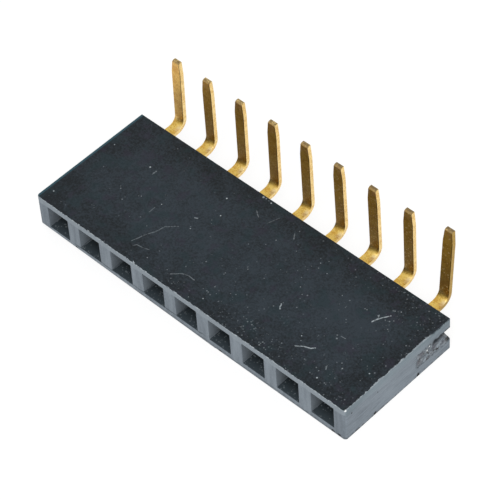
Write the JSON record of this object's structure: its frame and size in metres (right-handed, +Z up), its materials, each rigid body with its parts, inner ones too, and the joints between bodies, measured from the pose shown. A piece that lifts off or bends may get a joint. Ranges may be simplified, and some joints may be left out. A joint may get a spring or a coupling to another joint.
{
  "type": "right-angle female pin header strip",
  "caption": "Single-row right-angle socket header strip: a flat dark moulded housing with square-edged sockets along one edge and gold flat tails bent up behind.",
  "frame": {"origin": "centre of the housing's underside, the face that the strip rests on", "axes": "+X along the row, with the torn recess in the +X end; -Y out of the sockets; +Z up, the way the tails point and onto the circuit board"},
  "size_m": [0.0236, 0.0107, 0.0068],
  "materials": {
    "moulding": "satin moulded top, matt and lightly scuffed edges",
    "gold_contact": "gold flash over stamped copper alloy"
  },
  "bodies": {
    "root": {"housing": "moulding", "contact_1": "gold_contact", "contact_2": "gold_contact", "contact_3": "gold_contact", "contact_4": "gold_contact", "contact_5": "gold_contact", "contact_6": "gold_contact", "contact_7": "gold_contact", "contact_8": "gold_contact", "contact_9": "gold_contact"}
  },
  "joints": []
}
